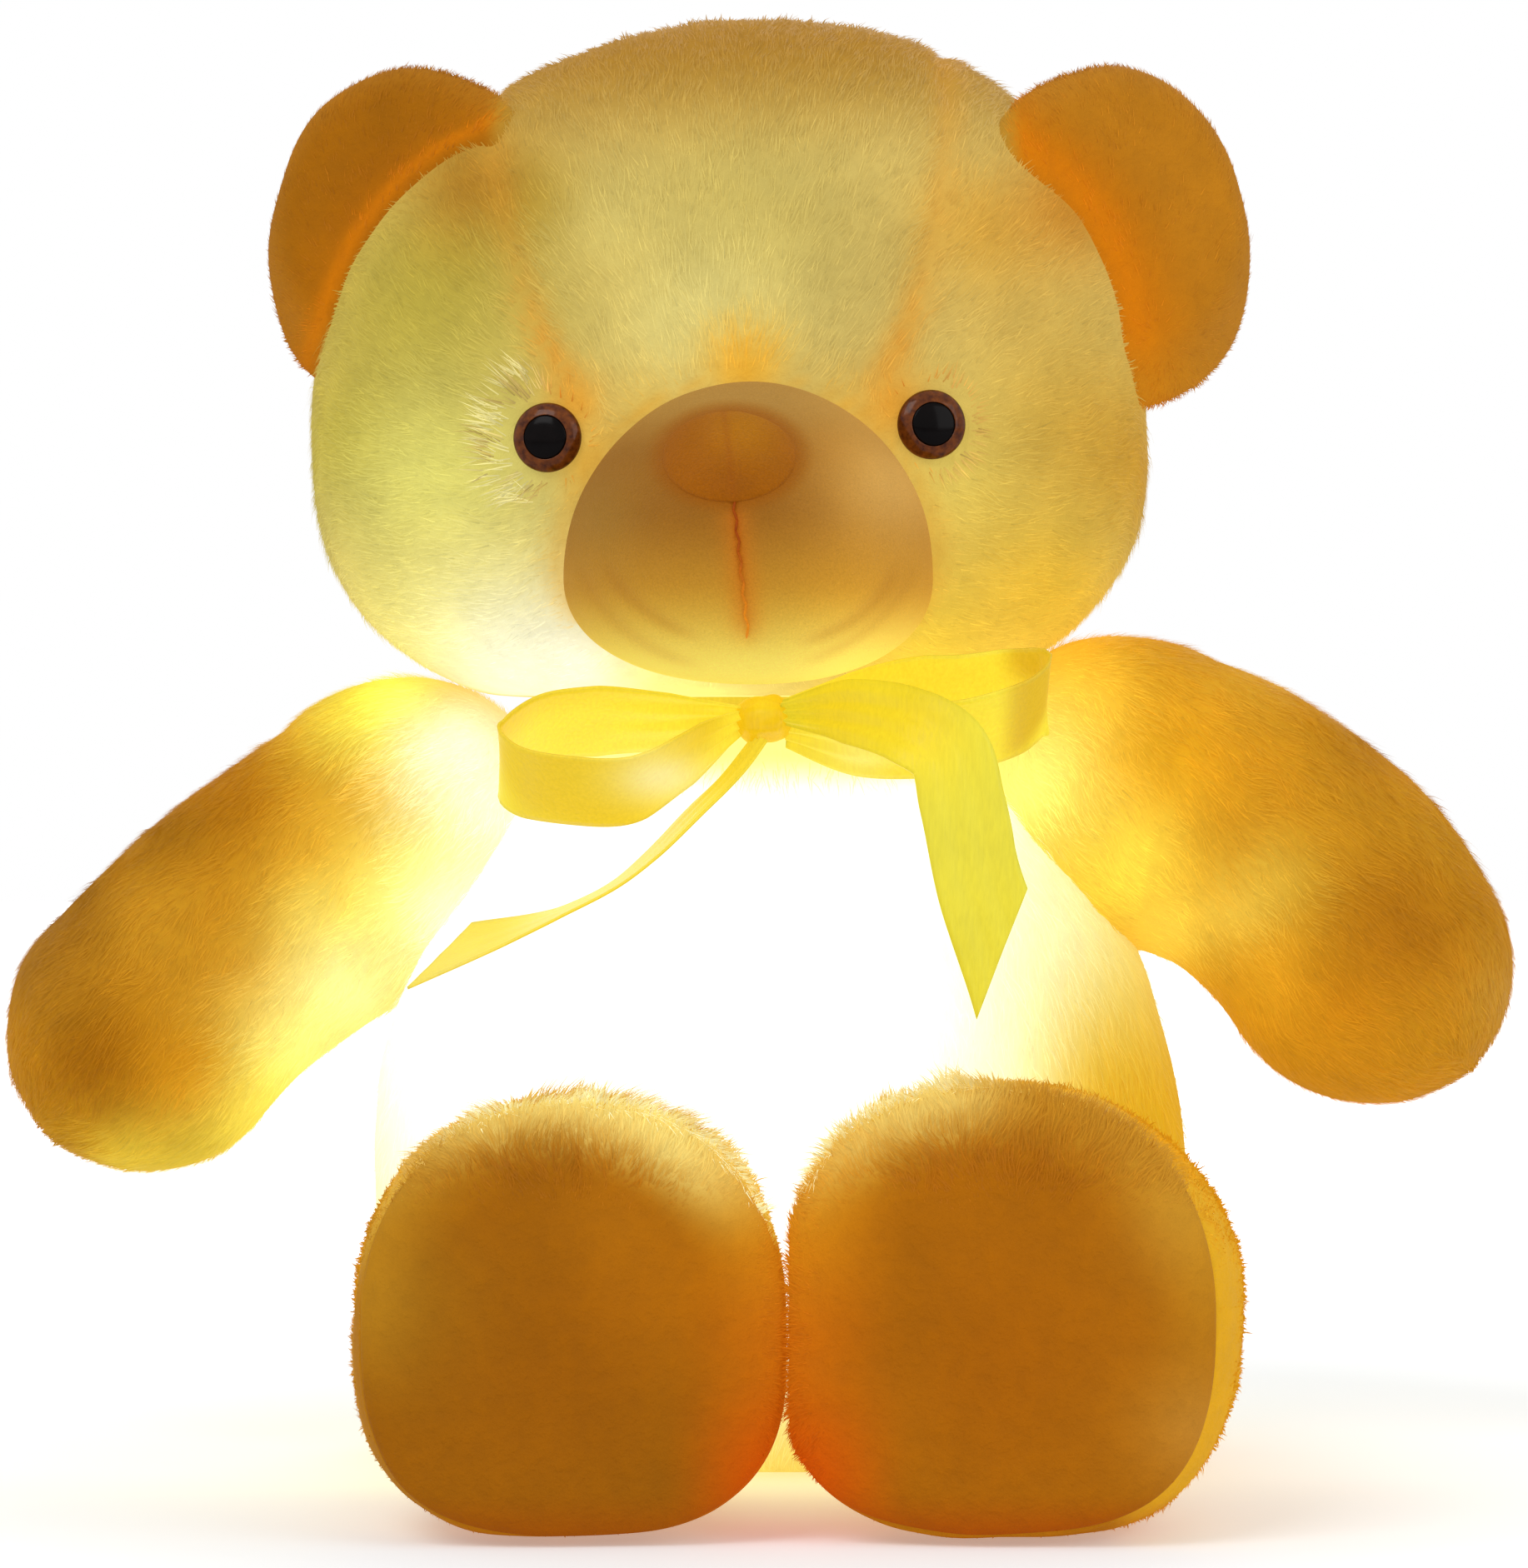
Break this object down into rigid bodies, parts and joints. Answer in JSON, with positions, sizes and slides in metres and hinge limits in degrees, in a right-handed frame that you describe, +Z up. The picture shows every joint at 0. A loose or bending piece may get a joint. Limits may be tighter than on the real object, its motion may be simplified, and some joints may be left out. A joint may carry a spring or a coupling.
{
  "type": "plush night light",
  "caption": "Seated furry teddy bear that glows from a lamp in its chest, with a satin bow, movable head and limbs, and a battery box behind a zip in its back.",
  "frame": {"origin": "middle of the flat seat under the torso, on the surface it sits on", "axes": "+Z up, the bear faces -Y, +X to the bear's own left"},
  "size_m": [0.3133, 0.238, 0.2981],
  "materials": {
    "torso_fur": "matte",
    "head_fur": "matte",
    "ear_fur": "matte",
    "arm_fur": "matte",
    "leg_fur": "matte",
    "sole_pile": "matte",
    "muzzle_pile": "matte",
    "nose_pile": "matte",
    "stitch_thread": "matte",
    "satin": "satin",
    "iris_plastic": "gloss",
    "pupil_plastic": "gloss",
    "white_plastic": "satin",
    "clear_tube": "gloss",
    "zip_tape": "matte",
    "zip_teeth": "satin",
    "zip_brass": "satin",
    "contact_brass": "satin",
    "screw_steel": "satin",
    "cell_wrap": "satin",
    "board_green": "satin",
    "board_white": "satin",
    "button_red": "satin",
    "led_lens": "gloss",
    "lead_red": "satin",
    "lead_black": "satin"
  },
  "bodies": {
    "torso": {"torso": "torso_fur", "zip_tape_left": "zip_tape", "zip_tape_right": "zip_tape", "zip_teeth_left": "zip_teeth", "zip_teeth_right": "zip_teeth", "zip_stop_top": "zip_brass", "zip_stop_bottom": "zip_brass", "battery_case": "white_plastic", "battery_door": "white_plastic", "door_screw": "screw_steel", "battery_1": "cell_wrap", "battery_2": "cell_wrap", "battery_3": "cell_wrap", "spring_contact_1": "screw_steel", "spring_contact_2": "screw_steel", "spring_contact_3": "screw_steel", "contact_plate_1": "contact_brass", "contact_plate_2": "contact_brass", "contact_plate_3": "contact_brass", "control_board": "board_green", "light_tube": "clear_tube", "tube_cap_top": "white_plastic", "tube_cap_bottom": "white_plastic", "led_board": "board_white", "led_1": "led_lens", "led_2": "led_lens", "led_3": "led_lens", "led_4": "led_lens", "led_5": "led_lens", "led_6": "led_lens", "lead_red": "lead_red", "lead_black": "lead_black"},
    "head": {"head": "head_fur", "muzzle": "muzzle_pile", "nose_patch": "nose_pile", "mouth_stitch": "stitch_thread", "ear_left": "ear_fur", "ear_right": "ear_fur", "eye_iris_left": "iris_plastic", "eye_iris_right": "iris_plastic", "eye_pupil_left": "pupil_plastic", "eye_pupil_right": "pupil_plastic", "eye_washer_left": "white_plastic", "eye_washer_right": "white_plastic", "neck_ribbon": "satin", "bow_knot": "satin", "bow_loop_left": "satin", "bow_loop_right": "satin", "bow_tail_left": "satin", "bow_tail_right": "satin"},
    "arm_left": {"arm_left": "arm_fur"},
    "arm_right": {"arm_right": "arm_fur"},
    "leg_left": {"leg_left": "leg_fur", "sole_left": "sole_pile"},
    "leg_right": {"leg_right": "leg_fur", "sole_right": "sole_pile"},
    "zip_slider": {"zip_slider": "zip_brass"},
    "zip_pull": {"zip_pull": "zip_brass"},
    "power_button": {"power_button": "button_red"}
  },
  "joints": [
    {"name": "head_turn", "type": "hinge", "parent": "torso", "child": "head", "pos_m": [0, 0, 0.158], "axis": [0, 0, 1], "range_deg": [-12, 12], "stiffness_Nm_per_rad": 0.3},
    {"name": "arm_left_swing", "type": "hinge", "parent": "torso", "child": "arm_left", "pos_m": [0.075, 0, 0.1375], "axis": [-1, 0, 0], "range_deg": [-20, 60], "stiffness_Nm_per_rad": 0.05},
    {"name": "arm_right_swing", "type": "hinge", "parent": "torso", "child": "arm_right", "pos_m": [-0.075, 0, 0.129], "axis": [-1, 0, 0], "range_deg": [-20, 60], "stiffness_Nm_per_rad": 0.05},
    {"name": "leg_left_lift", "type": "hinge", "parent": "torso", "child": "leg_left", "pos_m": [0.052, -0.042, 0.036], "axis": [-1, 0, 0], "range_deg": [0, 22], "stiffness_Nm_per_rad": 0.05},
    {"name": "leg_right_lift", "type": "hinge", "parent": "torso", "child": "leg_right", "pos_m": [-0.042, -0.042, 0.036], "axis": [-1, 0, 0], "range_deg": [0, 22], "stiffness_Nm_per_rad": 0.05},
    {"name": "zip_slide", "type": "slide", "parent": "torso", "child": "zip_slider", "axis": [0, 0, -1], "range_m": [0, 0.0577]},
    {"name": "zip_pull_flip", "type": "hinge", "parent": "zip_slider", "child": "zip_pull", "pos_m": [0, 0.0587, 0.101], "axis": [1, 0, 0], "range_deg": [0, 150]},
    {"name": "button_press", "type": "slide", "parent": "torso", "child": "power_button", "axis": [0, -1, 0], "range_m": [0, 0.0012], "stiffness_N_per_m": 300, "springref_m": -0.0005}
  ]
}
